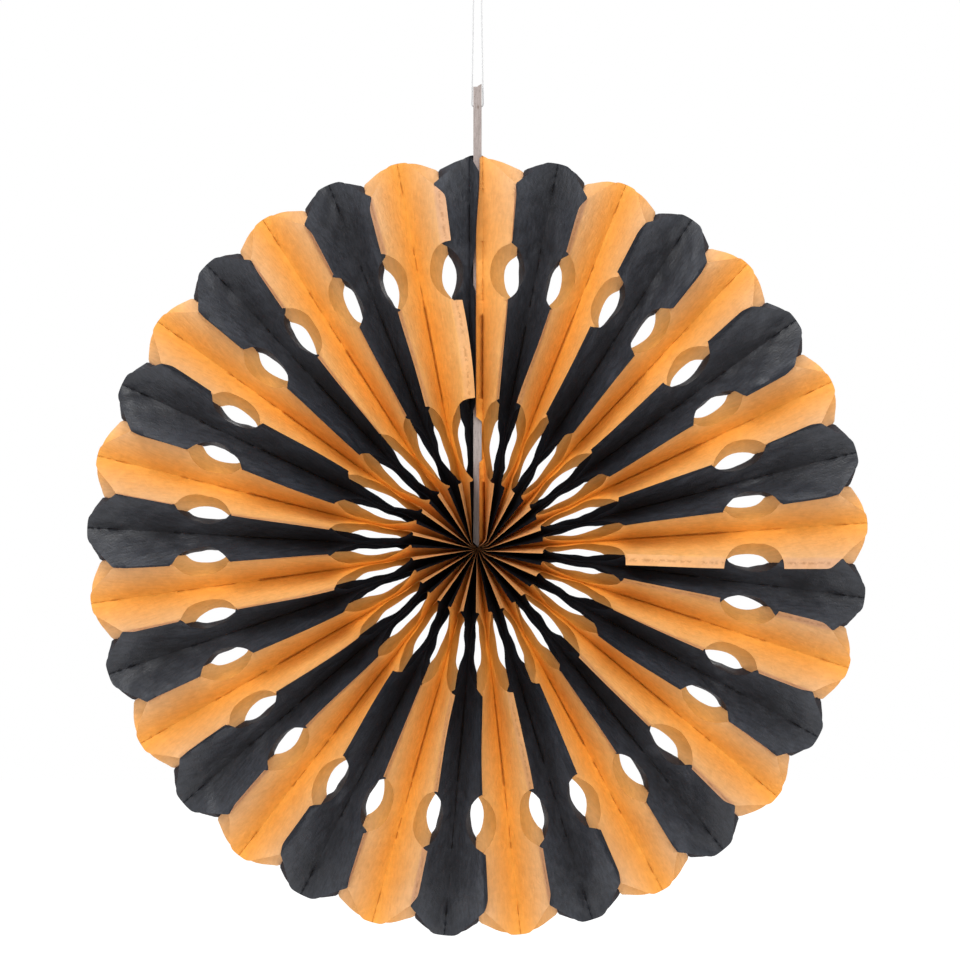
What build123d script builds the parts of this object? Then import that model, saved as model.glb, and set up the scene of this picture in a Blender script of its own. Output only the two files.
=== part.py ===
from build123d import *
from math import asin, cos, hypot, pi, sin, sqrt
import os

# A die-cut tissue fan, opened to a full disc, that hangs on a thread from two card strips.
# Millimetres. The disc stands in the XZ plane and its front faces -Y, +Z is up.
# The origin is where the thread bears on its hook.

# Disc
petal_count = 32
fan_radius = 203.0
rim_ridge_depth = 19.5
sheet_thickness = 0.15
crease_glue_half = 0.5
ridge_glue_width = 0.8

# Tips of the petals, front half and back half of each sheet
front_tip_drop = 21.0
front_tip_flat = 7.0
back_tip_drop = 8.0
back_tip_flat = 10.0

# Ring of bites between the centre and the middle, larger in front than behind
inner_bite_centre = 55.0
inner_bite_length = 43.0
inner_bite_depth = 22.0
inner_bite_steps = 4
inner_back_bite_centre = 53.0
inner_back_bite_length = 28.0
inner_back_bite_depth = 11.5

# Ring of bites near the rim, placed from the tips, larger in front than behind
outer_bite_below_tip = 60.5
outer_bite_length = 31.0
outer_bite_depth = 16.5
outer_bite_steps = 5
outer_back_bite_length = 24.0
outer_back_bite_depth = 9.0

# Card strips, and the free flaps of the end petals in front of and behind them
flap_stand_off = 0.1
strip_thickness = 2.15
strip_depth = 12.0
strip_rise = 35.0
right_strip_extra = 1.5
right_strip_slant = 1.2

# Hanging thread
thread_diameter = 0.7
thread_rise = 95.0
thread_hole_below_top = 10.0
thread_hole_clearance = 0.3
thread_stand_off = 0.45
hook_diameter = 2.2
knot_diameter = 2.0
knot_length = 2.6
knot_below_hook = 18.0
hook_flat = 0.15

# Sizes that follow from the ones above
sheet_count = 2 * petal_count + 4
cell_half_angle = pi / (petal_count + 1)
rim_half_chord = 2 * fan_radius * sin(cell_half_angle / 2)
sheet_half_width = hypot(rim_half_chord, rim_ridge_depth)
hub_radius = strip_thickness + sheet_count * sheet_thickness / (2 * pi)
end_petal_room = strip_thickness + 3 * sheet_thickness
thread_radius = thread_diameter / 2
hole_turn = thread_radius + thread_stand_off
hook_turn = thread_radius + hook_diameter / 2
strip_top = fan_radius + strip_rise
thread_hole_height = strip_top - thread_hole_below_top
centre_z = -(thread_hole_height + thread_rise)
outer_bite_centre = fan_radius - outer_bite_below_tip
outline_tolerance = 1e-6


def space_point(radius, angle, y):
    """Point at a radius and a clockwise angle from the top, seen from the front."""
    return (radius * sin(angle), y, centre_z + radius * cos(angle))


def bite_radii(centre, length, steps):
    """Radii of the corners of a half-round bite, from its inner end to its outer end."""
    return [centre - length / 2 * cos(pi * step / steps) for step in range(steps + 1)]


def bite_depth_at(radius, centre, length, depth):
    """How far a half-round bite reaches in from the sheet's edge at a radius."""
    along = (radius - centre) / (length / 2)
    if abs(along) >= 1:
        return 0.0
    return depth * sqrt(1 - along * along)


def tip_width_at(radius, drop, flat):
    """Width left of a half sheet under its sloping tip."""
    below_tip = fan_radius - radius
    if below_tip >= drop:
        return sheet_half_width
    return flat + (sheet_half_width - flat) * below_tip / drop


def front_width_at(radius):
    """Width of a sheet from its crease to its front edge."""
    inner = bite_depth_at(radius, inner_bite_centre, inner_bite_length, inner_bite_depth)
    outer = bite_depth_at(radius, outer_bite_centre, outer_bite_length, outer_bite_depth)
    return tip_width_at(radius, front_tip_drop, front_tip_flat) - inner - outer


def back_width_at(radius):
    """Width of a sheet from its crease to its back edge."""
    inner = bite_depth_at(radius, inner_back_bite_centre, inner_back_bite_length, inner_back_bite_depth)
    outer = bite_depth_at(radius, outer_bite_centre, outer_back_bite_length, outer_back_bite_depth)
    return tip_width_at(radius, back_tip_drop, back_tip_flat) - inner - outer


def station_radii():
    """Radii at which a sheet's outline turns, from the hub to the tip."""
    radii = [hub_radius, fan_radius - front_tip_drop, fan_radius - back_tip_drop, fan_radius]
    radii += bite_radii(inner_bite_centre, inner_bite_length, inner_bite_steps)
    radii += bite_radii(outer_bite_centre, outer_bite_length, outer_bite_steps)
    return sorted(radii)


def first_ridge_angle(radius):
    """Angle from the strips to the first ridge, wider at the hub to leave room for the strips."""
    return max(cell_half_angle, asin(end_petal_room / radius))


def ridge_angle(index, radius):
    """Angle of a ridge, counted clockwise from the one on the right of the strips."""
    first = first_ridge_angle(radius)
    return first + index * (2 * pi - 2 * first) / petal_count


def ridge_depth(radius):
    """Depth of a ridge in front of or behind its creases: the sheet's width stays the same."""
    half_chord = 2 * radius * sin(cell_half_angle / 2)
    return sqrt(sheet_half_width ** 2 - half_chord ** 2)


def arm_points(radius, crease, ridge, face):
    """Edge of one panel and the start of its glue strip at a radius. Face is -1 in front, 1 behind."""
    width = front_width_at(radius) if face < 0 else back_width_at(radius)
    depth = ridge_depth(radius)
    share = width / sheet_half_width
    if width > sheet_half_width - outline_tolerance:
        glue_start = space_point(radius, ridge, face * (depth - ridge_glue_width))
        return glue_start, space_point(radius, ridge, face * depth)
    if share * depth < crease_glue_half:
        root = space_point(radius, crease, face * crease_glue_half)
        return root, root
    edge = space_point(radius, crease + share * (ridge - crease), face * share * depth)
    return edge, edge


def side_points(radius, crease, shoulder, ridge):
    """Section of one sheet at a radius, from its back edge round the crease to its front edge."""
    front_glue, front_edge = arm_points(radius, crease, ridge, -1)
    back_glue, back_edge = arm_points(radius, crease, ridge, 1)
    return {
        "front_root": space_point(radius, crease, -crease_glue_half),
        "back_root": space_point(radius, crease, crease_glue_half),
        "shoulder": space_point(radius, shoulder, 0.0),
        "front_glue": front_glue,
        "front_edge": front_edge,
        "back_glue": back_glue,
        "back_edge": back_edge,
    }


def triangle_faces(corners):
    """Flat triangles that fill a loop of three or four corners, without the empty ones."""
    faces = []
    for third in range(2, len(corners)):
        triangle = (corners[0], corners[third - 1], corners[third])
        if len(set(triangle)) == 3:
            faces.append(Face(Wire.make_polygon(triangle)))
    return faces


def sheet_faces(sections):
    """Skin of one sheet between its sections: two faces of each panel, and its two ends."""
    faces = []
    for half in ("front", "back"):
        root, edge, glue = f"{half}_root", f"{half}_edge", f"{half}_glue"
        for near, far in zip(sections, sections[1:]):
            for crease_side, ridge_side in ((root, edge), ("shoulder", glue), (glue, edge)):
                corners = (near[crease_side], far[crease_side], far[ridge_side], near[ridge_side])
                faces += triangle_faces(corners)
        for end in (sections[0], sections[-1]):
            faces += triangle_faces((end[root], end[edge], end[glue], end["shoulder"]))
    for end in (sections[0], sections[-1]):
        faces += triangle_faces((end["front_root"], end["shoulder"], end["back_root"]))
    return faces


def petal(index):
    """Two sheets of one colour, glued to each other along the crease between two ridges."""
    left_sections = []
    right_sections = []
    for radius in station_radii():
        left_ridge = ridge_angle(index, radius)
        right_ridge = ridge_angle(index + 1, radius)
        crease = (left_ridge + right_ridge) / 2
        shoulder_turn = sheet_thickness / radius
        left_sections.append(side_points(radius, crease, crease - shoulder_turn, left_ridge))
        right_sections.append(side_points(radius, crease, crease + shoulder_turn, right_ridge))
    return Solid(Shell(sheet_faces(left_sections) + sheet_faces(right_sections)))


def flap_points(radius, side):
    """Section of an end petal's outer sheet: glued on a strip's face, with free flaps past the strip's edges."""
    face_angle = side * asin(strip_thickness / radius)
    outer_angle = side * asin((strip_thickness + sheet_thickness) / radius)
    meeting_angle = side * asin(flap_stand_off / radius)
    points = {}
    for half, face, width in (("front", -1, front_width_at(radius)), ("back", 1, back_width_at(radius))):
        share = max(0.0, width - strip_depth / 2) / (sheet_half_width - strip_depth / 2)
        edge_angle = face_angle + share * (meeting_angle - face_angle)
        edge_depth = strip_depth / 2 + share * (ridge_depth(radius) - strip_depth / 2)
        points[f"{half}_corner"] = space_point(radius, face_angle, face * strip_depth / 2)
        points[f"{half}_outer"] = space_point(radius, outer_angle, face * strip_depth / 2)
        points[f"{half}_flap"] = space_point(radius, edge_angle, face * edge_depth)
    return points


def flap_faces(sections):
    """Skin of an end petal's outer sheet between its sections, and its two ends."""
    faces = []
    bands = [("front_corner", "back_corner")]
    for half in ("front", "back"):
        for inner_side, edge_side in (("root", "outer"), ("outer", "flap"), ("corner", "flap")):
            bands.append((f"{half}_{inner_side}", f"{half}_{edge_side}"))
    for near, far in zip(sections, sections[1:]):
        for here, there in bands:
            faces += triangle_faces((near[here], far[here], far[there], near[there]))
    middle = ("front_corner", "front_outer", "front_root", "back_root", "back_outer", "back_corner")
    for end in (sections[0], sections[-1]):
        faces += triangle_faces([end[name] for name in middle])
        for half in ("front", "back"):
            faces += triangle_faces((end[f"{half}_corner"], end[f"{half}_flap"], end[f"{half}_outer"]))
    return faces


def end_petal(side):
    """Petal at an end of the stack, glued to the face of a strip. Side is 1 on the right, -1 on the left."""
    sections = []
    for radius in station_radii():
        crease = side * asin((strip_thickness + sheet_thickness) / radius)
        shoulder = side * asin((strip_thickness + 2 * sheet_thickness) / radius)
        points = side_points(radius, crease, shoulder, side * first_ridge_angle(radius))
        points.update(flap_points(radius, side))
        sections.append(points)
    return Solid(Shell(sheet_faces(sections) + flap_faces(sections)))


def strip(side, extra, slant):
    """Card strip from the centre to above the rim, with a slanting top and a hole for the thread."""
    bottom = centre_z
    top = centre_z + strip_top + extra
    outer = side * strip_thickness
    profile = Polyline((0, bottom), (outer, bottom), (outer, top), (0, top - slant), close=True)
    body = extrude(Plane.XZ * make_face(profile), strip_depth / 2, both=True)
    hole_radius = thread_radius + thread_hole_clearance
    hole = Cylinder(hole_radius, 2 * strip_thickness, rotation=(0, 90, 0))
    return body - Pos(outer / 2, 0, centre_z + thread_hole_height) * hole


def strand_foot(side):
    """Corner where a strand of the thread turns into its hole."""
    return Vector(side * (strip_thickness + hole_turn), 0, centre_z + thread_hole_height)


def strand_top(side):
    """Corner where a strand turns over the hook."""
    return Vector(side * hook_turn, 0, thread_radius)


def right_strand():
    """Direction of the right strand, upwards."""
    return (strand_top(1) - strand_foot(1)).normalized()


def knot_centre():
    """Middle of the knot, on the right strand."""
    return strand_top(1) - right_strand() * knot_below_hook


def hanging_thread():
    """Loop of thread, drawn tight, from under its knot through both strips and over the hook to the knot."""
    half_knot = right_strand() * knot_length / 2
    corners = [strand_foot(1), strand_foot(-1), strand_top(-1), strand_top(1)]
    radii = [hole_turn, hole_turn, hook_turn - hook_flat, hook_turn - hook_flat]
    path = FilletPolyline(knot_centre() - half_knot, *corners, knot_centre() + half_knot, radius=radii)
    section = Plane(origin=path @ 0, z_dir=path % 0) * Circle(thread_radius)
    body = sweep(section, path=path)
    print("thread arc radii", [round(radius, 2) for radius in radii])
    print("thread length", round(path.length, 2), "volume", round(body.volume, 3),
          "section times length", round(pi * thread_radius ** 2 * path.length, 3))
    return body


def thread_knot():
    """Knot that closes the loop, with the thread's two ends against its flat ends."""
    return Plane(origin=knot_centre(), z_dir=right_strand()) * Cylinder(knot_diameter / 2, knot_length)


def write_parts():
    """One file for each piece: the petals alternate, black first, clockwise from the strips."""
    os.makedirs("parts", exist_ok=True)
    pieces = {
        "orange_end_petal": end_petal(1),
        "black_end_petal": end_petal(-1),
        "left_strip": strip(-1, 0.0, 0.0),
        "right_strip": strip(1, right_strip_extra, right_strip_slant),
        "hanging_thread": hanging_thread(),
        "thread_knot": thread_knot(),
    }
    for index in range(petal_count):
        colour = "orange" if index % 2 else "black"
        pieces[f"{colour}_petal_{index // 2 + 1:02d}"] = petal(index)
    for name, piece in pieces.items():
        export_step(piece, f"parts/{name}.step")


write_parts()
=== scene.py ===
import math
import bmesh
import bpy
import numpy as np
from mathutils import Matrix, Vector


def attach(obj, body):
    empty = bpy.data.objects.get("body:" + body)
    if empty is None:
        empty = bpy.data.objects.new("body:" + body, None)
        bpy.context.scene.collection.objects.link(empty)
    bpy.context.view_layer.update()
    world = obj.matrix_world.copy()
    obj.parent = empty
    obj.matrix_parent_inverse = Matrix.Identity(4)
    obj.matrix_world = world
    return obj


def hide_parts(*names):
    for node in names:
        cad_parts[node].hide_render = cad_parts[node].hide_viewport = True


# A die-cut tissue fan in orange and black, hung by a thread from its two card strips.
# Sizes are in millimetres and angles in degrees, clockwise from the top as seen from the front.
# A pair of limits gives the radii between which a value changes, or the range that a value is drawn from.
# The fan's front faces -Y and its creases lie in the plane y = 0, as in the CAD model.

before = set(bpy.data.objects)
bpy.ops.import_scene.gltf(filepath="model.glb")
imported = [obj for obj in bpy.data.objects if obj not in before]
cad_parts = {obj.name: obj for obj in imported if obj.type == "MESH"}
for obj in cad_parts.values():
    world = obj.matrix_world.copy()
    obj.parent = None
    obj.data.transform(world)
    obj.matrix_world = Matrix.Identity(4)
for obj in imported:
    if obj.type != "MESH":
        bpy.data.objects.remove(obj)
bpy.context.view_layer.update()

MM = 0.001
WHITE = (1.0, 1.0, 1.0)
BLACK = (0.0, 0.0, 0.0)
seed = 11
phase_limits = (0.0, 6.0)

# Disc
petal_count = 32
fan_radius = 203.0
centre_z = -323.0
hub_radius = 0.7
rim_ridge_depth = 19.5
web_length = 2.2
fin_width = 6.0
sheet_gap = 0.05
panel_curve = -0.15
panel_spread = 0.9

# Tips of the petals
front_tip_drop = 21.0
front_tip_flat = 7.0
back_tip_drop = 8.0
back_tip_flat = 10.0
tip_softness = 0.45
corner_softness = 0.8

# Bites in front, face -1, and behind, face 1: centre, length and depth
inner_bites = {-1: (55.0, 43.0, 22.0), 1: (53.0, 31.0, 11.9)}
outer_bites = {-1: (142.5, 31.0, 16.5), 1: (142.0, 27.0, 10.4)}

# Mesh of a sheet: rows from the hub to the tip, and columns across its web, its panel and its glued fin
hub_rows = 14
front_bite_rows = 21
back_bite_rows = 15
middle_rows = 20
outer_rows = 12
slope_rows = 24
slope_lead = 2.0
tip_rows = 7
tip_length = 1.0
web_columns = 3
panel_columns = 13
fin_columns = 4
weld_distance = 0.002
least_edge = 0.001
sharp_angle = 40.0

# Creases: how the opened fan departs from an even spacing
crease_shift = -0.36
crease_cosine = 0.38
crease_sine = -0.74
crease_drift = -2.15
crease_jitter = 0.12
squeeze_fade = 2.5

# Ridges: their lean to one side, and the sway of the front ones
front_ridge_lean = -0.15
front_lean_rim = 0.4
front_lean_start = (20.0, 90.0)
front_lean_change = (110.0, 195.0)
back_ridge_lean = 1.1
back_lean_rim = 0.5
back_lean_change = (150.0, fan_radius)
ridge_sway = 1.1
sway_radius = 78.0
sway_reach = 34.0
sway_swing = (-0.6, 1.0)
sway_wave = (-0.5, 0.5)
sway_wave_scale = 27.0
last_ridge_sway = 2.6
last_sway_rise = (40.0, 75.0)
last_sway_fall = (80.0, 160.0)

# Glued fins at the ridges: their leans, the two that lie folded, and how all turn near the hub
fin_lean_spread = 30.0
fin_wave = (4.0, 10.0)
fin_wave_scale = (18.0, 30.0)
folded_fins = {8: 72.0, 32: 74.0}
folded_rise = (62.0, 72.0)
hub_lean_radius = 36.0
hub_fin_lean = 20.7
hub_fin_lean_change = 4.6
hub_lean_most = 60.0
hub_turn = 2.4
hub_turn_change = 1.8
hub_turn_most = -70.0

# End petals at the strips, on the right, side 1, and on the left, side -1
strip_face = 2.2
wall_sine_limit = 0.7
end_web_length = 7.5
end_web_bend = 4.5
hub_crease_offset = {1: 4.0, -1: 2.7}
crease_offset = {1: 2.8, -1: 4.2}
crease_offset_change = (20.0, 80.0)
crease_sine_limit = 0.8
flap_reach = {1: 9.0, -1: 16.0}
flap_line = -0.8
flap_line_tip = 1.0
flap_line_change = (156.0, 193.0)
flap_open = {1: 0.8, -1: 2.3}
flap_open_change = (44.0, 54.0)
flap_gap = 0.1

# Crumples of the tissue, and the flutter of its free edges
orange_crumple = 0.16
black_crumple = 0.42
crumple_waves = 7
crumple_longest = 24.0
crumple_shortest = 7.0
crumple_fade = 4.0
crumple_patchiness = 0.4
patch_scale_along = 13.0
patch_scale_across = 7.0
back_crumple_shift = 40.0
edge_flutter = 0.35
flutter_reach = 4.0
flutter_scale = 3.1
flutter_fade = 3.0
free_edge_limits = (0.3, 2.0)

# Sheen of the tissue, from none near the hub, where the matt tissue stands in for the shade of the deep
# folds, to full at a share of the radius
matt_reach = 0.36
sheen_reach = 0.55

# Fine creases along the tissue: how many across a half sheet and along it, and their change per metre
streaks_across = 20.0
streaks_along = 36.0
streak_change = 150.0

# Crinkles of the tissue: the fineness and the strength of their warp, and the height of creases among them
crinkle_warp_scale = 0.8
crinkle_warp = 0.012
crinkle_streaks = 0.9

# Shades of the tissue, the streaks' shade being painted shade in the fine creases: noise values where each is
# full and where it ends, and the fineness of its clouds
mottle_stops = (0.3, 0.7)
cloud_stops = (0.38, 0.62)
streak_stops = (0.36, 0.6)
cloud_scale = 48.0

# Glue on the fins: grain of its patches, noise values where they begin and end, and its band across the sheet
glue_scale = 420.0
glue_stops = (0.46, 0.58)
glue_band = (0.93, 0.95, 0.975)

# Darker mark on the strips' edges by the thread's hole: its place, and its fading per millimetre
hole_mark = (0.3, -95.6)
hole_mark_fading = (1.8, 0.7)
hole_mark_core = 0.35
hole_mark_tone = (0.55, 0.48, 0.42)

# Thread, the same route as in the CAD model
thread_diameter = 0.7
thread_foot = (2.95, -95.0)
thread_top = (1.45, 0.35)
hook_clear = 4.2
hole_inside = 0.6
route_smoothness = 24
strand_count = 3
strand_pitch = 2.3
strand_sides = 6
ring_step = 0.14

# Knot on the thread
knot_centre = (1.733, -17.65)
knot_length = 2.6
knot_turns = 3.5
knot_wire = 0.6
knot_rings = 150
knot_sides = 8
coil_radius = 0.68
coil_swell = 0.06
core_radius = 0.2
core_turn = 5.0
core_reach = 1.15
tail_length = 2.6
tail_rings = 12
tail_heading = (0.45, 0.15, 0.85)
tail_shrink = 0.2

# Picture: the fan's scale in it and where its centre stands
picture_size = 960
pixels_per_mm = 1.9236
fan_pixel = (477.5, 546.0)
camera_distance = 1550.0
sensor_width = 36.0

# Studio: light from the surroundings, lamps with their place and size in metres and power in watts, and floor
world_light = 0.55
lamps = {"key": ((-0.3, -1.5, 0.9), 0.9, 36.0),
         "fill": ((0.3, -2.4, -0.1), 1.2, 26.0),
         "back": ((0.3, 1.9, 0.2), 1.4, 22.0)}
floor_drop = 900.0
floor_size = 9000.0
floor_tone = 0.85
floor_glow = 0.6

# Sizes that follow
cell_half_angle = math.pi / (petal_count + 1)
rim_half_chord = 2 * fan_radius * math.sin(cell_half_angle / 2)
sheet_width = math.hypot(rim_half_chord, rim_ridge_depth)
panel_reach = sheet_width - fin_width
dice = np.random.default_rng(seed)


def smooth_step(low, high, value):
    """0 below low, 1 above high and a smooth rise between."""
    share = np.clip((value - low) / (high - low), 0, 1)
    return share * share * (3 - 2 * share)


# Outline of a sheet

def bite_depth(radius, centre, length, depth):
    """How far a half-round bite reaches in from the sheet's edge."""
    along = np.clip((radius - centre) / (length / 2), -1, 1)
    return depth * np.sqrt(1 - along ** 2)


def tip_width(radius, drop, flat):
    """Width left of a half sheet under its tip: flat by the crease, then sloping, with soft corners."""
    below = fan_radius - radius
    slope = flat + (sheet_width - flat) * below / drop
    slope = slope - flat * np.exp(-below / tip_softness)
    rounded = np.exp(-slope / corner_softness) + np.exp(-sheet_width / corner_softness)
    return -corner_softness * np.log(rounded)


def half_width(radius, face):
    """Width of a sheet from its crease to its front edge, face -1, or to its back edge, face 1."""
    if face < 0:
        width = tip_width(radius, front_tip_drop, front_tip_flat)
    else:
        width = tip_width(radius, back_tip_drop, back_tip_flat)
    width = width - bite_depth(radius, *inner_bites[face]) - bite_depth(radius, *outer_bites[face])
    return np.maximum(width, 0.0)


def bite_stations(bite, count):
    """Radii across a bite, close together at its ends."""
    centre, length, _ = bite
    return centre - length / 2 * np.cos(np.linspace(0, math.pi, count))


def station_radii():
    """Radii of a sheet's rows, from the hub to the tip."""
    inner = bite_stations(inner_bites[-1], front_bite_rows)
    outer = bite_stations(outer_bites[-1], front_bite_rows)
    slope_start = fan_radius - front_tip_drop - slope_lead
    tip_start = fan_radius - tip_length
    steps = [np.linspace(hub_radius, inner[0], hub_rows), inner,
             np.linspace(inner[-1], outer[0], middle_rows), outer,
             np.linspace(outer[-1], slope_start, outer_rows),
             np.linspace(slope_start, tip_start, slope_rows),
             np.linspace(tip_start, fan_radius, tip_rows),
             bite_stations(inner_bites[1], back_bite_rows),
             bite_stations(outer_bites[1], back_bite_rows)]
    return np.unique(np.round(np.concatenate(steps), 3))


rows = station_radii()


def along_rows(start, end, limits):
    """A value at each row that goes smoothly from start to end between two radii."""
    return start + (end - start) * smooth_step(*limits, rows)


near_hub = along_rows(1, 0, (hub_lean_radius, 2 * hub_lean_radius))


# Creases

def end_crease_angle(side):
    """Angle of an end petal's crease beside the strips at each row."""
    offset = along_rows(hub_crease_offset[side], crease_offset[side], crease_offset_change)
    return np.arcsin(np.minimum(offset / rows, crease_sine_limit))


def squeezed(angle):
    """Angle at each row: near the hub the strips push the petals beside them together."""
    right, left = end_crease_angle(1), end_crease_angle(-1)
    share = (angle - right[-1]) / (2 * math.pi - right[-1] - left[-1])
    from_right = (right - right[-1]) * (1 - share) ** squeeze_fade
    from_left = (left - left[-1]) * share ** squeeze_fade
    return angle + from_right - from_left


def crease_turn(index):
    """Angle of a petal's crease at the rim, by a formula that follows the photograph's uneven spacing."""
    even = (index + 1) * 360 / (petal_count + 1)
    turn = math.radians(even)
    bent = even + crease_shift + crease_cosine * math.cos(turn) + crease_sine * math.sin(turn)
    bent += crease_drift * (even / 360 - 0.5)
    return math.radians(bent + (crease_jitter if index % 2 == 0 else -crease_jitter))


def crease_angle(index):
    """Angle of a crease at each row. Index -1 is the orange end petal, the last is the black one."""
    if index < 0:
        return end_crease_angle(1)
    if index >= petal_count:
        return 2 * math.pi - end_crease_angle(-1)
    return squeezed(crease_turn(index))


# Ridges and their fins

def turn_from(index, direction):
    """Angle between a ridge and a direction in degrees."""
    return 2 * math.pi * (index + 0.5) / (petal_count + 1) - math.radians(direction)


def ridge_sways():
    """How each front ridge sways along its length, one row of angles for each ridge."""
    near_bite = np.exp(-((rows - sway_radius) / sway_reach) ** 2)
    sways = []
    for _ in range(petal_count + 1):
        swing = dice.uniform(*sway_swing)
        wave = dice.uniform(*sway_wave)
        phase = dice.uniform(0, 2 * math.pi)
        sway = ridge_sway * (swing + wave * np.sin(rows / sway_wave_scale + phase))
        sways.append(np.radians(sway * near_bite))
    last = along_rows(0, 1, last_sway_rise) * along_rows(1, 0, last_sway_fall)
    sways[-1] = sways[-1] + math.radians(last_ridge_sway) * last
    return sways


def fin_leans():
    """Lean of each glued fin at each row, in front and behind."""
    leans = {-1: [], 1: []}
    for index in range(petal_count + 1):
        outward = hub_fin_lean + hub_fin_lean_change * math.cos(turn_from(index, hub_lean_most))
        outward = outward * np.minimum(rows / hub_lean_radius, 1)
        outward = outward if index <= petal_count / 2 else -outward
        for face in (-1, 1):
            start = dice.uniform(-fin_lean_spread, fin_lean_spread)
            height = dice.uniform(*fin_wave)
            scale = dice.uniform(*fin_wave_scale)
            wave = height * np.sin(rows / scale + dice.uniform(*phase_limits))
            leans[face].append(np.radians(start + wave + (outward - start - wave) * near_hub))
    for index, lean in folded_fins.items():
        leans[-1][index] = along_rows(leans[-1][index], math.radians(lean), folded_rise)
    return leans


front_sways = ridge_sways()
leans = fin_leans()


def away_from_black(index):
    """1 where the black petal lies before the ridge and -1 where it lies after it, clockwise."""
    return 1 if index % 2 else -1


def ridge_angle(index, face):
    """Angle of a ridge at each row: midway between two creases, but for lean, sway and turn at the hub."""
    middle = (crease_angle(index - 1) + crease_angle(index)) / 2
    if face > 0:
        lean = along_rows(back_ridge_lean, back_lean_rim, back_lean_change)
        return middle - np.radians(lean) * away_from_black(index)
    lean = along_rows(front_ridge_lean, front_lean_rim, front_lean_change)
    lean = lean * along_rows(0, 1, front_lean_start)
    leaned = np.radians(lean) * away_from_black(index)
    turned = math.radians(hub_turn + hub_turn_change * math.cos(turn_from(index, hub_turn_most))) * near_hub
    pivot = near_hub * np.sin(leans[-1][index]) * fin_width / rows
    return middle + leaned + front_sways[index] + turned - pivot


def ridge_depth():
    """Depth of the ridges in front of or behind the creases at each row."""
    half_chord = 2 * rows * math.sin(cell_half_angle / 2)
    return np.sqrt(sheet_width ** 2 - half_chord ** 2)


# Sheets

def column_shares(web):
    """Places across a half sheet, as shares of its width: its web, its panel and its glued fin."""
    web_end, fin_start = web / sheet_width, 1 - fin_width / sheet_width
    return np.concatenate([np.linspace(0, web_end, web_columns)[:-1],
                           np.linspace(web_end, fin_start, panel_columns),
                           np.linspace(fin_start, 1, fin_columns)[1:]])


def crumple_field(along, across, strength):
    """Creased unevenness of the tissue in millimetres: crossing folds, stronger in some patches."""
    total = np.zeros_like(along)
    for wave in range(crumple_waves):
        length = crumple_longest * (crumple_shortest / crumple_longest) ** (wave / (crumple_waves - 1))
        heading, phase = dice.uniform(0, math.pi), dice.uniform(0, 1)
        turn = (along * math.cos(heading) + across * math.sin(heading)) / length + phase
        fold = 4 * np.abs(turn - np.floor(turn + 0.5)) - 1
        total += fold * length / crumple_longest
    patches = np.sin(along / patch_scale_along + dice.uniform(*phase_limits))
    patches = patches * np.sin(across / patch_scale_across + dice.uniform(*phase_limits))
    return strength * total * (1 - crumple_patchiness + crumple_patchiness * patches)


def sheet_bump(sheet, face, along, across, width):
    """Crumples and fluttering edges of half a sheet in millimetres, with none where it is glued."""
    past_web = across - sheet["web"]
    before_reach = smooth_step(0, flutter_fade, sheet["reach"] - across)
    held = smooth_step(0, crumple_fade, past_web) * before_reach
    crumples = crumple_field(along, across + back_crumple_shift * face, sheet["crumple"]) * held
    free = smooth_step(*free_edge_limits, sheet_width - width) * np.exp(-(width - across) / flutter_reach)
    loose = smooth_step(0, flutter_fade, past_web) * before_reach
    flutter = np.sin(along / flutter_scale + dice.uniform(*phase_limits))
    return crumples + edge_flutter * free * flutter * loose


def half_sheet(sheet, face):
    """Angles, depths and spreads of half a sheet: a row for each radius, from the crease to the edge."""
    web, side = sheet["web"], sheet["side"]
    shares = column_shares(web)
    width = half_width(rows, face)[:, None]
    along = np.repeat(rows[:, None], len(shares), axis=1)
    across = width * shares[None, :]
    crease, ridge = sheet["crease"][:, None], sheet["ridge"][face][:, None]
    wall, lean = sheet["wall"][:, None], sheet["lean"][face][:, None]
    panel_depth = ridge_depth()[:, None] - fin_width - web

    share = np.clip((across - web) / (sheet["reach"] - web), 0, 1)
    curve = share + panel_curve * (smooth_step(0, 1, share) - share)
    on_wall = 1 - smooth_step(sheet["web_bend"], web, across)
    fin = np.maximum(across - panel_reach, 0)
    angle = crease + (wall - crease) * on_wall + (ridge - crease) * curve + np.sin(lean) * fin / along
    depth = np.minimum(across, web) + panel_depth * np.clip((across - web) / (panel_reach - web), 0, 1)
    depth = depth + np.cos(lean) * fin
    spread = panel_spread * np.clip(across / panel_reach, 0, 1) + (1 - panel_spread) * fin / fin_width

    bump = sheet_bump(sheet, face, along, across, width)
    span = along * np.abs(ridge - crease)
    length = np.hypot(span, panel_depth)
    depth = depth + bump * span / length
    angle = angle - side * bump * panel_depth / length / along
    in_web = np.sin(math.pi * np.clip(across / web, 0, 1))
    in_fin = np.sin(math.pi * fin / fin_width)
    angle = angle + side * sheet_gap * (in_web - in_fin) / along
    return angle, face * depth, spread


def sheet_grid(sheet):
    """Points of a sheet, from its front edge across the crease to its back edge, and their spreads."""
    halves = zip(half_sheet(sheet, -1), half_sheet(sheet, 1))
    angle, depth, spread = [np.concatenate([front[:, :0:-1], back], axis=1) for front, back in halves]
    radius = rows[:, None]
    points = np.stack([radius * np.sin(angle), depth, centre_z + radius * np.cos(angle)], axis=2)
    return points, spread


def ridge_side(ridge):
    """What shapes the panel of a sheet that ends at a ridge."""
    return {"ridge": {face: ridge_angle(ridge, face) for face in (-1, 1)},
            "lean": {face: leans[face][ridge] for face in (-1, 1)}, "reach": panel_reach}


def petal_sheet(index, side, crumple):
    """What shapes one sheet of a petal, on the left of its crease, side -1, or on the right, side 1."""
    crease = crease_angle(index)
    common = {"crease": crease, "wall": crease, "web": web_length, "web_bend": 0.0, "crumple": crumple}
    return {**common, **ridge_side(index if side < 0 else index + 1), "side": side}


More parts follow.
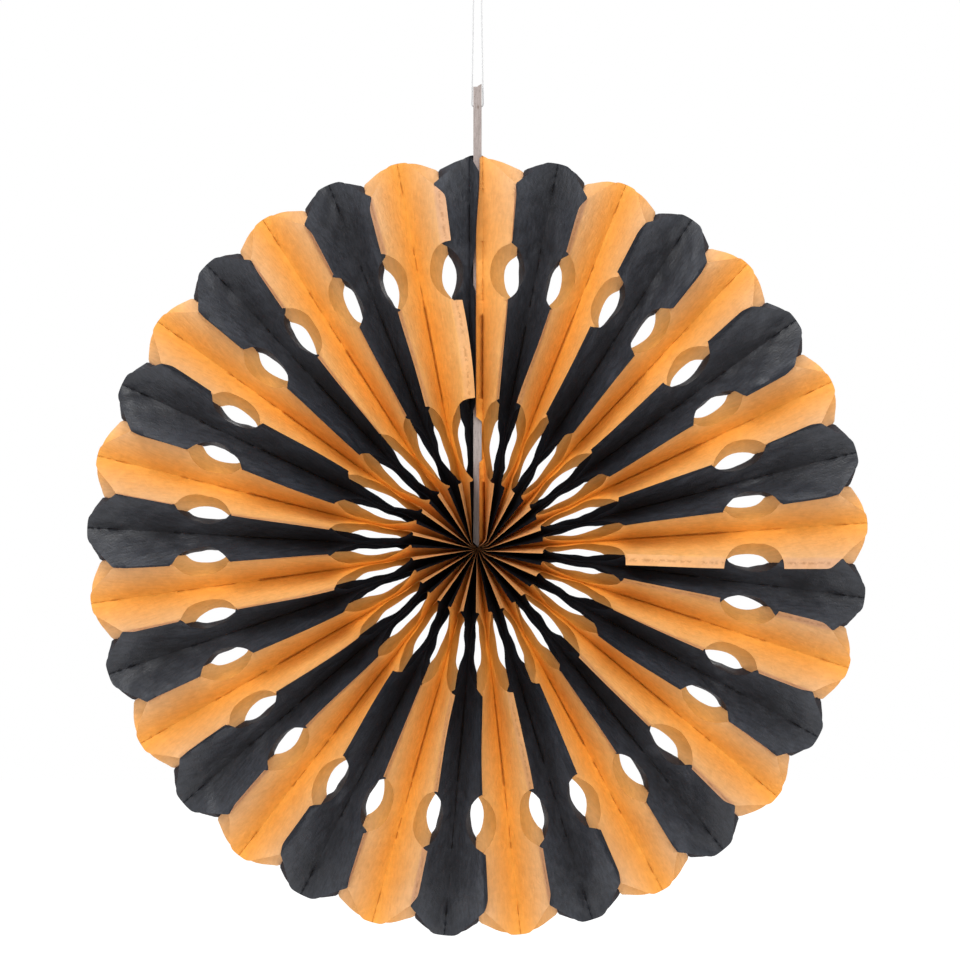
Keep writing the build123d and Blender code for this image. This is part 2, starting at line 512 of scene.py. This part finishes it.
def flap_angle(side):
    """Angle of the line where the end petals' flaps meet, in front of the strips and behind them."""
    line = along_rows(flap_line, flap_line_tip, flap_line_change)
    offset = along_rows(side * flap_open[side], line, flap_open_change)
    return np.arcsin(np.clip(offset / rows, -crease_sine_limit, crease_sine_limit))


def end_sheets(side, crumple):
    """The two sheets of an end petal: the one beside the next petal, and the one glued to the strip."""
    turn = 0.0 if side > 0 else 2 * math.pi
    wall = turn + side * np.arcsin(np.minimum(strip_face / rows, wall_sine_limit))
    crease = crease_angle(-1 if side > 0 else petal_count)
    common = {"crease": crease, "wall": wall, "web": end_web_length, "web_bend": end_web_bend,
              "crumple": crumple}
    panel = {**ridge_side(0 if side > 0 else petal_count), "side": side}
    meeting = turn + flap_angle(side) + side * flap_gap / rows
    still = np.zeros_like(rows)
    flap = {"ridge": {-1: meeting, 1: meeting}, "lean": {-1: still, 1: still}, "reach": flap_reach[side],
            "side": -side}
    return [{**common, **panel}, {**common, **flap}]


# Pieces

def placed(name, data):
    """A new object in the scene, with the given mesh, lamp or camera."""
    holder = bpy.data.objects.new(name, data)
    bpy.context.scene.collection.objects.link(holder)
    return holder


def stand_for(piece, node):
    """Puts a piece in place of a CAD node that doesn't move."""
    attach(piece, "root")
    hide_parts(node)


def grid_faces(row_count, column_count, start):
    """Quads between the points of a grid whose first point has the number start."""
    corner = start + np.arange(row_count * column_count).reshape(row_count, column_count)
    quads = np.stack([corner[:-1, :-1], corner[1:, :-1], corner[1:, 1:], corner[:-1, 1:]], axis=2)
    return quads.reshape(-1, 4)


def weld_points(mesh):
    """Join points that fall together at the tips, so that no empty face is left."""
    body = bmesh.new()
    body.from_mesh(mesh)
    bmesh.ops.remove_doubles(body, verts=body.verts, dist=weld_distance * MM)
    bmesh.ops.dissolve_degenerate(body, edges=body.edges, dist=least_edge * MM)
    body.to_mesh(mesh)
    body.free()


def tissue_piece(name, sheets, material):
    """A petal as a mesh of its sheets, with each point's place across and along its sheet."""
    points, spreads, reaches, faces = [], [], [], []
    start = 0
    for sheet in sheets:
        grid, spread = sheet_grid(sheet)
        faces.append(grid_faces(grid.shape[0], grid.shape[1], start))
        points.append(grid.reshape(-1, 3))
        spreads.append(spread.reshape(-1))
        reaches.append(np.repeat(rows / fan_radius, grid.shape[1]))
        start += grid.shape[0] * grid.shape[1]
    mesh = bpy.data.meshes.new(name)
    mesh.from_pydata((np.concatenate(points) * MM).tolist(), [], np.concatenate(faces).tolist())
    for place, values in (("spread", spreads), ("reach", reaches)):
        mesh.attributes.new(place, "FLOAT", "POINT").data.foreach_set("value", np.concatenate(values))
    weld_points(mesh)
    mesh.shade_smooth()
    mesh.set_sharp_from_angle(angle=math.radians(sharp_angle))
    mesh.materials.append(material)
    return placed(name, mesh)


# Nodes of the materials

def new_material(name):
    """An empty node material with its output."""
    material = bpy.data.materials.new(name)
    material.use_nodes = True
    tree = material.node_tree
    tree.nodes.clear()
    return material, tree, tree.nodes.new("ShaderNodeOutputMaterial")


def add_node(tree, kind, **inputs):
    """A node with some of its inputs set, by their names with underscores for spaces."""
    node = tree.nodes.new(kind)
    for name, value in inputs.items():
        node.inputs[name.replace("_", " ")].default_value = value
    return node


def math_node(tree, kind, operation, *values):
    """A math node with its inputs in turn: a socket is linked and a constant is set."""
    node = tree.nodes.new(kind)
    node.operation = operation
    for socket, value in zip(node.inputs, values):
        if isinstance(value, bpy.types.NodeSocket):
            tree.links.new(value, socket)
        else:
            socket.default_value = value
    return node


def object_places(tree):
    """Places in the object's own frame, in metres."""
    return tree.nodes.new("ShaderNodeTexCoord").outputs["Object"]


def attribute(tree, name):
    """A value kept with the mesh's points."""
    node = tree.nodes.new("ShaderNodeAttribute")
    node.attribute_name = name
    return node.outputs["Fac"]


def noise(tree, places, **inputs):
    """Noise at the given places."""
    node = add_node(tree, "ShaderNodeTexNoise", **inputs)
    tree.links.new(places, node.inputs["Vector"])
    return node


def grey(level):
    """A grey colour."""
    return (level, level, level)


def ramped(tree, value, stops):
    """A colour for a value, from (place, colour) stops."""
    node = tree.nodes.new("ShaderNodeValToRGB")
    ramp = node.color_ramp
    while len(ramp.elements) < len(stops):
        ramp.elements.new(0.5)
    for element, (place, colour) in zip(ramp.elements, stops):
        element.position = place
        element.color = (*colour, 1)
    tree.links.new(value, node.inputs["Fac"])
    return node.outputs["Color"]


def multiplied(tree, first, second):
    """The product of two colours."""
    node = add_node(tree, "ShaderNodeMix", Factor=1.0)
    node.data_type = "RGBA"
    node.blend_type = "MULTIPLY"
    tree.links.new(first, node.inputs["A"])
    tree.links.new(second, node.inputs["B"])
    return node.outputs["Result"]


def shaded(tree, colour, value, stops, shade):
    """A colour, multiplied with a shade where the value is low and left alone where it is high."""
    low, high = stops
    return multiplied(tree, colour, ramped(tree, value, ((low, shade), (high, WHITE))))


# Tissue

def streak_noise(tree, places, spread, reach):
    """Noise drawn out along the sheet, for fine creases that run from the hub to the rim."""
    flat = tree.nodes.new("ShaderNodeCombineXYZ")
    tree.links.new(spread, flat.inputs["X"])
    tree.links.new(reach, flat.inputs["Y"])
    fineness = (streaks_across, streaks_along, 0.0)
    stretched = math_node(tree, "ShaderNodeVectorMath", "MULTIPLY", flat.outputs["Vector"], fineness)
    change = (streak_change, streak_change, streak_change)
    moved = math_node(tree, "ShaderNodeVectorMath", "MULTIPLY_ADD", places, change,
                      stretched.outputs["Vector"])
    return noise(tree, moved.outputs["Vector"], Scale=1.0, Detail=3.0, Roughness=0.55).outputs["Fac"]


def crinkle_height(tree, places, cell, streaks):
    """Height of fine crinkles: straight folds between flat facets, and creases along the sheet."""
    warp = noise(tree, places, Scale=cell * crinkle_warp_scale, Detail=2.0)
    shift = add_node(tree, "ShaderNodeMix", Factor=crinkle_warp)
    shift.data_type = "VECTOR"
    tree.links.new(places, shift.inputs["A"])
    tree.links.new(warp.outputs["Color"], shift.inputs["B"])
    folds = add_node(tree, "ShaderNodeTexVoronoi", Scale=cell)
    folds.feature = "DISTANCE_TO_EDGE"
    tree.links.new(shift.outputs["Result"], folds.inputs["Vector"])
    total = math_node(tree, "ShaderNodeMath", "MULTIPLY_ADD", streaks, crinkle_streaks,
                      folds.outputs["Distance"])
    return total.outputs["Value"]


def glue_marks(tree, places, spread, tint):
    """Colour to multiply with: patchy streaks of glue along the middle of the fins."""
    patches = noise(tree, places, Scale=glue_scale, Detail=3.0, Roughness=0.7).outputs["Fac"]
    bare, full = glue_stops
    near, middle, far = glue_band
    node = tree.nodes.new("ShaderNodeMix")
    node.data_type = "RGBA"
    band = ramped(tree, spread, ((near, BLACK), (middle, WHITE), (far, BLACK)))
    tree.links.new(band, node.inputs["Factor"])
    node.inputs["A"].default_value = (*WHITE, 1)
    tree.links.new(ramped(tree, patches, ((bare, WHITE), (full, tint))), node.inputs["B"])
    return node.outputs["Result"]


def tissue_colour(tree, look, places, spread, reach, streaks):
    """Colour of tissue: painted light and shade across and along the sheet, painted shade in the hollows of
    the fine creases, mottles, clouds and glue.
    """
    fine = noise(tree, places, Scale=look["grain"], Detail=5.0, Roughness=0.6).outputs["Fac"]
    broad = noise(tree, places, Scale=cloud_scale, Detail=3.0).outputs["Fac"]
    colour = multiplied(tree, ramped(tree, spread, look["across"]), ramped(tree, reach, look["along"]))
    colour = shaded(tree, colour, fine, mottle_stops, grey(1 - look["mottle"]))
    colour = shaded(tree, colour, broad, cloud_stops, look["patch"])
    # Darker at low streak values: painted shade in the hollows of the fine creases, which the same noise
    # raises in the bump
    colour = shaded(tree, colour, streaks, streak_stops, grey(1 - look["streak"]))
    return multiplied(tree, colour, glue_marks(tree, places, spread, look["glue"]))


def tissue_material(name, look):
    """Crinkled tissue paper that lets light through: matt near the hub, as a stand-in for the shade of its
    deep folds, and with a sheen further out.
    """
    material, tree, output = new_material(name)
    link = tree.links.new
    places = object_places(tree)
    spread, reach = attribute(tree, "spread"), attribute(tree, "reach")
    streaks = streak_noise(tree, places, spread, reach)
    colour = tissue_colour(tree, look, places, spread, reach, streaks)
    bump = add_node(tree, "ShaderNodeBump", Strength=1.0, Distance=look["bump"] * MM)
    link(crinkle_height(tree, places, look["cell"], streaks), bump.inputs["Height"])
    paper = add_node(tree, "ShaderNodeBsdfPrincipled", Roughness=look["rough"],
                     Specular_IOR_Level=look["gloss"])
    matt = tree.nodes.new("ShaderNodeBsdfDiffuse")
    through = tree.nodes.new("ShaderNodeBsdfTranslucent")
    for shader in (paper, matt, through):
        link(bump.outputs["Normal"], shader.inputs["Normal"])
    link(colour, paper.inputs["Base Color"])
    link(colour, matt.inputs["Color"])
    if look["glow"]:
        through.inputs["Color"].default_value = (*look["glow"], 1)
    else:
        link(colour, through.inputs["Color"])
    # Matt near the hub in place of the shade of its deep folds, with a sheen further out
    sheen = tree.nodes.new("ShaderNodeMixShader")
    link(ramped(tree, reach, ((matt_reach, BLACK), (sheen_reach, WHITE))), sheen.inputs["Fac"])
    link(matt.outputs["BSDF"], sheen.inputs[1])
    link(paper.outputs["BSDF"], sheen.inputs[2])
    both = add_node(tree, "ShaderNodeMixShader", Fac=look["see_through"])
    link(sheen.outputs["Shader"], both.inputs[1])
    link(through.outputs["BSDF"], both.inputs[2])
    link(both.outputs["Shader"], output.inputs["Surface"])
    return material


def orange_tissue():
    """Orange tissue with painted light and shade: deeper in the folds, paler towards the ridges and the rim,
    brown painted shade at the hub.
    """
    return tissue_material("orange_tissue", {
        # Across the sheet, painted light and shade: a bright, deep orange at the crease stands in for light
        # bouncing and shining through in the fold, and paler towards the ridges; the darker fins are orange
        # glued over black
        "across": ((0.0, (1.0, 0.47, 0.07)), (0.22, (0.96, 0.43, 0.08)), (0.5, (0.94, 0.47, 0.14)),
                   (0.88, (0.92, 0.54, 0.24)), (0.92, (0.84, 0.49, 0.27))),
        # Along the sheet: brown painted shade at the hub, painted light lifting the orange at the inner and
        # middle radii, and paler, a little darker towards the rim
        "along": ((0.0, (0.82, 0.68, 0.54)), (0.1, (1.08, 0.88, 0.60)), (0.22, (1.03, 0.86, 0.60)),
                  (0.32, (1.0, 0.87, 0.65)), (0.5, (1.05, 0.97, 0.79)), (0.72, (0.93, 0.88, 0.81)),
                  (0.97, (0.84, 0.84, 0.96))),
        "patch": (0.99, 0.95, 0.86), "mottle": 0.12, "grain": 300.0, "streak": 0.08,
        "glue": (0.72, 0.66, 0.60), "gloss": 0.25, "rough": 0.7, "see_through": 0.36, "glow": None,
        "cell": 190.0, "bump": 0.22})


def black_tissue():
    """Black tissue with a sheen on its crinkles, painted shade in its creases and towards the hub, and a
    painted cool sheen as a blue tint towards the ridges.
    """
    return tissue_material("black_tissue", {
        # Across the sheet: painted shade darkens the crease, and a blue tint towards the ridges is a painted
        # cool sheen
        "across": ((0.0, (0.007, 0.007, 0.008)), (0.1, (0.018, 0.019, 0.023)), (0.9, (0.034, 0.038, 0.048))),
        # Along the sheet: painted shade, darker towards the hub
        "along": ((0.12, grey(0.2)), (0.35, grey(0.5)), (0.5, WHITE)),
        "patch": grey(0.8), "mottle": 0.3, "grain": 520.0, "streak": 0.4,
        "glue": (1.5, 1.45, 1.4), "gloss": 0.28, "rough": 0.46, "see_through": 0.02,
        # The light through the sheet is tinted blue to offset the orange light inside the folds
        "glow": (0.42, 0.50, 0.66), "cell": 330.0, "bump": 0.16})


# Board and cotton

def hole_shade(tree, places):
    """Colour to multiply with: darker round the thread's hole."""
    across, along = hole_mark_fading
    middle = (hole_mark[0] * MM, 0.0, hole_mark[1] * MM)
    offset = math_node(tree, "ShaderNodeVectorMath", "SUBTRACT", places, middle)
    narrow = add_node(tree, "ShaderNodeMapping", Scale=(across / MM, 0.0, along / MM))
    tree.links.new(offset.outputs["Vector"], narrow.inputs["Vector"])
    away = math_node(tree, "ShaderNodeVectorMath", "LENGTH", narrow.outputs["Vector"])
    return ramped(tree, away.outputs["Value"], ((hole_mark_core, hole_mark_tone), (1.0, WHITE)))


def grey_card():
    """Uncoated grey board: layered fibres along the strip, specks, and darker round the thread's hole."""
    material, tree, output = new_material("grey_card")
    link = tree.links.new
    places = object_places(tree)
    stretch = add_node(tree, "ShaderNodeMapping", Scale=(1.0, 1.0, 0.06))
    link(places, stretch.inputs["Vector"])
    layers = noise(tree, stretch.outputs["Vector"], Scale=2600.0, Detail=4.0, Roughness=0.65).outputs["Fac"]
    specks = noise(tree, places, Scale=1700.0, Detail=2.0).outputs["Fac"]
    board_tones = ((0.25, (0.16, 0.135, 0.125)), (0.55, (0.25, 0.213, 0.2)), (0.8, (0.32, 0.28, 0.262)))
    speck_tones = ((0.30, (0.55, 0.52, 0.50)), (0.38, WHITE))
    colour = multiplied(tree, ramped(tree, layers, board_tones), ramped(tree, specks, speck_tones))
    colour = multiplied(tree, colour, hole_shade(tree, places))
    bump = add_node(tree, "ShaderNodeBump", Strength=0.6, Distance=0.06 * MM)
    link(layers, bump.inputs["Height"])
    board = add_node(tree, "ShaderNodeBsdfPrincipled", Roughness=0.85, Specular_IOR_Level=0.2)
    link(colour, board.inputs["Base Color"])
    link(bump.outputs["Normal"], board.inputs["Normal"])
    link(board.outputs["BSDF"], output.inputs["Surface"])
    return material


def white_thread():
    """Cotton thread: off-white with faint grey fibres."""
    material, tree, output = new_material("white_thread")
    link = tree.links.new
    fibres = noise(tree, object_places(tree), Scale=6000.0, Detail=3.0).outputs["Fac"]
    tone = ramped(tree, fibres, ((0.3, (0.42, 0.42, 0.43)), (0.7, grey(0.52))))
    bump = add_node(tree, "ShaderNodeBump", Strength=0.5, Distance=0.03 * MM)
    link(fibres, bump.inputs["Height"])
    cotton = add_node(tree, "ShaderNodeBsdfPrincipled", Roughness=0.8, Sheen_Weight=0.3,
                      Specular_IOR_Level=0.3)
    link(tone, cotton.inputs["Base Color"])
    link(bump.outputs["Normal"], cotton.inputs["Normal"])
    link(cotton.outputs["BSDF"], output.inputs["Surface"])
    return material


# Thread and knot

def route_line(points):
    """The smooth line of a route, read from a NURBS spline with the route's points as its control points."""
    curve = bpy.data.curves.new("route", "CURVE")
    curve.dimensions = "3D"
    spline = curve.splines.new("NURBS")
    spline.points.add(len(points) - 1)
    for control, (x, z) in zip(spline.points, points):
        control.co = (x * MM, 0, z * MM, 1)
    spline.order_u = 3
    spline.use_endpoint_u = True
    spline.resolution_u = route_smoothness
    holder = bpy.data.objects.new("route", curve)
    mesh = bpy.data.meshes.new_from_object(holder)
    line = np.array([vertex.co for vertex in mesh.vertices]) / MM
    bpy.data.objects.remove(holder)
    bpy.data.curves.remove(curve)
    bpy.data.meshes.remove(mesh)
    return line


def evenly_spaced(line, step):
    """The line again with points a step apart, and how far along it each of them lies."""
    lengths = np.concatenate([[0], np.cumsum(np.linalg.norm(np.diff(line, axis=0), axis=1))])
    places = np.linspace(0, lengths[-1], max(2, int(lengths[-1] / step)))
    return np.stack([np.interp(places, lengths, line[:, axis]) for axis in range(3)], axis=1), places


def headings(line):
    """The way that a line runs at each of its points."""
    ahead = np.gradient(line, axis=0)
    return ahead / np.linalg.norm(ahead, axis=1)[:, None]


def tube_grid(line, radius, sides):
    """Rings of a tube round a line: points as rows of rings, with no twist along the line."""
    off_line = (0.35, 0.9, 0.2)
    ahead = headings(line)
    across = np.cross(ahead, off_line)
    across /= np.linalg.norm(across, axis=1)[:, None]
    third = np.cross(ahead, across)
    turns = np.linspace(0, 2 * math.pi, sides, endpoint=False)[None, :, None]
    ring = np.cos(turns) * across[:, None, :] + np.sin(turns) * third[:, None, :]
    return line[:, None, :] + radius * ring


def tube_faces(ring_count, sides, start):
    """Quads of a tube round its line, and one face over each of its ends."""
    faces = []
    for ring in range(ring_count - 1):
        for side in range(sides):
            nearer, further = start + ring * sides, start + (ring + 1) * sides
            after = (side + 1) % sides
            faces.append((nearer + side, nearer + after, further + after, further + side))
    faces.append(tuple(start + side for side in reversed(range(sides))))
    faces.append(tuple(start + (ring_count - 1) * sides + side for side in range(sides)))
    return faces


def tubes_piece(name, lines, radius, sides, material):
    """One mesh of round tubes along several lines."""
    points, faces = [], []
    start = 0
    for line in lines:
        faces += tube_faces(len(line), sides, start)
        points.append(tube_grid(line, radius, sides).reshape(-1, 3))
        start += len(points[-1])
    mesh = bpy.data.meshes.new(name)
    mesh.from_pydata((np.concatenate(points) * MM).tolist(), [], faces)
    mesh.shade_smooth()
    mesh.materials.append(material)
    return placed(name, mesh)


def thread_route():
    """The loop's control points: out of the hole on the right, up, over the hook, down and in on the left."""
    (foot_x, foot_z), (top_x, top_z) = thread_foot, thread_top
    slope = (top_x - foot_x) / (top_z - foot_z)
    right = [(hole_inside, foot_z), (foot_x, foot_z), (foot_x + slope * hook_clear, foot_z + hook_clear),
             (top_x - slope * hook_clear, top_z - hook_clear), (top_x, top_z)]
    return right + [(-x, z) for x, z in reversed(right)]


def hanging_thread(material, knot):
    """Twisted cotton thread, drawn tight through both strips and over a hook."""
    line, places = evenly_spaced(route_line(thread_route()), ring_step)
    sideways = np.array((0.0, 1.0, 0.0))
    outward = np.cross(headings(line), sideways)
    strand_radius = thread_diameter / 2 / (1 + 1 / math.sin(math.pi / strand_count))
    offset = thread_diameter / 2 - strand_radius
    strands = []
    for strand in range(strand_count):
        turn = 2 * math.pi * (places / strand_pitch + strand / strand_count)
        strands.append(line + offset * (np.cos(turn)[:, None] * outward + np.sin(turn)[:, None] * sideways))
    piece = tubes_piece("hanging_thread_twist", strands, strand_radius, strand_sides, material)
    stand_for(piece, "hanging_thread")


def thread_knot(material):
    """Barrel knot on the right strand, with its two cut ends."""
    share = np.linspace(0, 1, knot_rings)
    swirl = 2 * math.pi * knot_turns * share
    height = (knot_length / 2 - knot_wire / 2) * (2 * share - 1)
    wide = coil_radius + coil_swell * np.cos(2 * swirl)
    coil = np.stack([wide * np.cos(swirl), wide * np.sin(swirl), height], axis=1)
    core = np.stack([core_radius * np.cos(core_turn * share), core_radius * np.sin(core_turn * share),
                     core_reach * height], axis=1)
    out, aside, up = tail_heading
    along = np.linspace(0, 1, tail_rings)[:, None]
    tails = []
    for end, way in ((coil[0], -1), (coil[-1], 1)):
        heading = np.array((out, way * aside, way * up))
        tails.append(end + along * tail_length * heading * (1 - tail_shrink * along))
    place = np.array((knot_centre[0], 0.0, knot_centre[1]))
    lines = [line + place for line in [coil, core] + tails]
    piece = tubes_piece("thread_knot_coil", lines, knot_wire / 2, knot_sides, material)
    stand_for(piece, "thread_knot")
    return piece


# Object

def make_petals():
    """All petals, each in place of its CAD node."""
    materials = {"orange": orange_tissue(), "black": black_tissue()}
    crumples = {"orange": orange_crumple, "black": black_crumple}
    made = []
    for index in range(petal_count):
        colour = ("black", "orange")[index % 2]
        sheets = [petal_sheet(index, side, crumples[colour]) for side in (-1, 1)]
        made.append((f"{colour}_petal_{index // 2 + 1:02d}", colour, sheets))
    made.append(("orange_end_petal", "orange", end_sheets(1, crumples["orange"])))
    made.append(("black_end_petal", "black", end_sheets(-1, crumples["black"])))
    for node, colour, sheets in made:
        stand_for(tissue_piece(f"{node}_tissue", sheets, materials[colour]), node)


def dress_strips():
    """Board material on the two strips of the CAD model."""
    material = grey_card()
    for node in ("left_strip", "right_strip"):
        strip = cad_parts[node]
        strip.data.materials.clear()
        strip.data.materials.append(material)


# Studio

def make_camera():
    """Level camera that sees the fan as the photograph does."""
    lens = bpy.data.cameras.new("camera")
    lens.sensor_width = sensor_width
    lens.lens = sensor_width * camera_distance * pixels_per_mm / picture_size
    camera = placed("camera", lens)
    across = (picture_size / 2 - fan_pixel[0]) / pixels_per_mm
    up = centre_z + (fan_pixel[1] - picture_size / 2) / pixels_per_mm
    camera.location = (across * MM, -camera_distance * MM, up * MM)
    camera.rotation_euler = (math.pi / 2, 0, 0)
    bpy.context.scene.camera = camera


def soft_light(name, place, size, power):
    """A square soft lamp that points at the middle of the disc."""
    lamp = bpy.data.lights.new(name, "AREA")
    lamp.size = size
    lamp.energy = power
    holder = placed(name, lamp)
    holder.location = place
    aim = Vector((0, 0, centre_z * MM)) - Vector(place)
    holder.rotation_euler = aim.to_track_quat("-Z", "Y").to_euler()


def seen_directly(tree):
    """1 for rays from the camera and for those seen in gloss or through glass."""
    path = tree.nodes.new("ShaderNodeLightPath")
    total = path.outputs["Is Camera Ray"]
    for name in ("Is Glossy Ray", "Is Transmission Ray"):
        total = math_node(tree, "ShaderNodeMath", "MAXIMUM", total, path.outputs[name]).outputs["Value"]
    return total


def make_world():
    """White surroundings, and softer light from them on the object."""
    world = bpy.data.worlds.new("studio")
    world.use_nodes = True
    tree = world.node_tree
    tree.nodes.clear()
    output = tree.nodes.new("ShaderNodeOutputWorld")
    light = add_node(tree, "ShaderNodeBackground", Color=(*WHITE, 1), Strength=world_light)
    white = add_node(tree, "ShaderNodeBackground", Color=(*WHITE, 1), Strength=1.0)
    both = tree.nodes.new("ShaderNodeMixShader")
    tree.links.new(seen_directly(tree), both.inputs["Fac"])
    tree.links.new(light.outputs["Background"], both.inputs[1])
    tree.links.new(white.outputs["Background"], both.inputs[2])
    tree.links.new(both.outputs["Shader"], output.inputs["Surface"])
    bpy.context.scene.world = world


def floor_material():
    """Pale floor that looks almost white, and throws back less light than it shows."""
    material, tree, output = new_material("floor")
    matt = add_node(tree, "ShaderNodeBsdfDiffuse", Color=(*grey(floor_tone), 1))
    glow = add_node(tree, "ShaderNodeEmission", Color=(*WHITE, 1))
    strength = math_node(tree, "ShaderNodeMath", "MULTIPLY", seen_directly(tree), floor_glow)
    tree.links.new(strength.outputs["Value"], glow.inputs["Strength"])
    both = tree.nodes.new("ShaderNodeAddShader")
    tree.links.new(matt.outputs["BSDF"], both.inputs[0])
    tree.links.new(glow.outputs["Emission"], both.inputs[1])
    tree.links.new(both.outputs["Shader"], output.inputs["Surface"])
    return material


def make_floor():
    """Plain floor below the fan."""
    mesh = bpy.data.meshes.new("floor")
    half, height = floor_size * MM / 2, -floor_drop * MM
    corners = [(x, y, height) for x, y in ((-half, -half), (half, -half), (half, half), (-half, half))]
    mesh.from_pydata(corners, [], [(0, 1, 2, 3)])
    mesh.materials.append(floor_material())
    placed("floor", mesh)


def make_studio():
    """Soft light from above and in front, and from behind through the tissue, on white."""
    make_world()
    for name, (place, size, power) in lamps.items():
        soft_light(name, place, size, power)
    make_floor()
    bpy.context.scene.view_settings.view_transform = "Standard"


make_camera()
make_studio()
thread_material = white_thread()
hanging_thread(thread_material, thread_knot(thread_material))
make_petals()
dress_strips()
